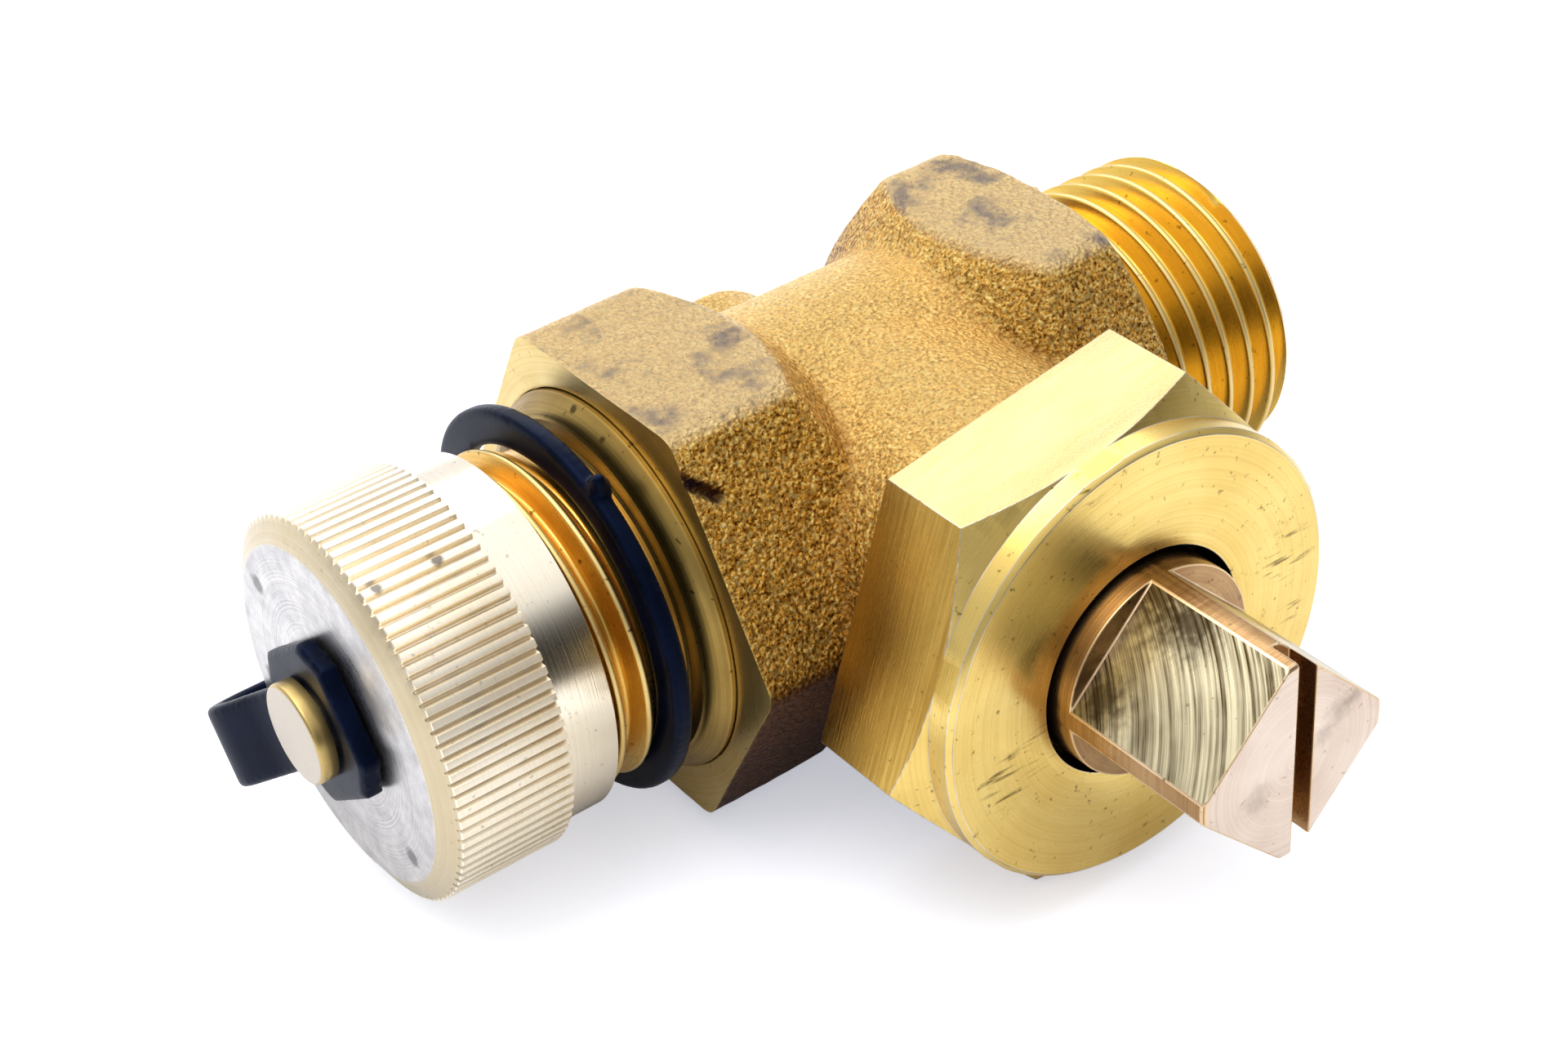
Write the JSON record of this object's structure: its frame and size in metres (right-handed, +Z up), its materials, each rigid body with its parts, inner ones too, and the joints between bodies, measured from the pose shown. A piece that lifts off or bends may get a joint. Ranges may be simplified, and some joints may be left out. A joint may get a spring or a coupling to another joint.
{
  "type": "drain cock",
  "caption": "Brass plug-type drain cock with a male inlet thread, a square-headed spindle under a hexagonal gland nut, and a knurled outlet cap on a rubber strap.",
  "frame": {"origin": "centre of the inlet thread, at the shoulder of the inlet hexagon that the thread starts from", "axes": "+X along the inlet thread, out of the body; the spindle points along -Y and +Z is up"},
  "size_m": [0.0677, 0.0533, 0.0302],
  "materials": {
    "cast_brass": "sand cast, bare, machined at the thread and outlet face",
    "rose_brass": "turned and milled, bare",
    "milled_brass": "milled flats and turned boss, bare",
    "turned_brass": "turned, bare",
    "pale_brass": "turned and knurled, bare",
    "packing_yarn": "graphited braided yarn",
    "gasket_fibre": "plain",
    "gasket_rubber": "matt",
    "strap_rubber": "soft sheen"
  },
  "bodies": {
    "cock_body": {"valve_body": "cast_brass", "inner_packing_ring": "packing_yarn", "middle_packing_ring": "packing_yarn", "outer_packing_ring": "packing_yarn", "gland_follower": "turned_brass", "gland_nut": "milled_brass", "outlet_adapter": "turned_brass", "adapter_gasket": "gasket_fibre", "cap_strap": "strap_rubber"},
    "plug": {"plug_spindle": "rose_brass"},
    "cap_seal": {"cap_gasket": "gasket_rubber"},
    "cap": {"outlet_cap": "pale_brass"}
  },
  "joints": [
    {"name": "plug_turn", "type": "hinge", "parent": "cock_body", "child": "plug", "pos_m": [-0.0155, 0, 0], "axis": [0, -1, 0], "continuous": true},
    {"name": "cap_advance", "type": "slide", "parent": "cock_body", "child": "cap_seal", "axis": [-1, 0, 0], "range_m": [0, 0.00672], "deforming": ["cap_strap"]},
    {"name": "cap_turn", "type": "hinge", "parent": "cap_seal", "child": "cap", "pos_m": [-0.0495, 0, 0], "axis": [-1, 0, 0], "range_deg": [0, 1332]}
  ],
  "couplings": [
    {"joint": "cap_advance", "follows": "cap_turn", "m_per_rad": 0.00028871}
  ]
}
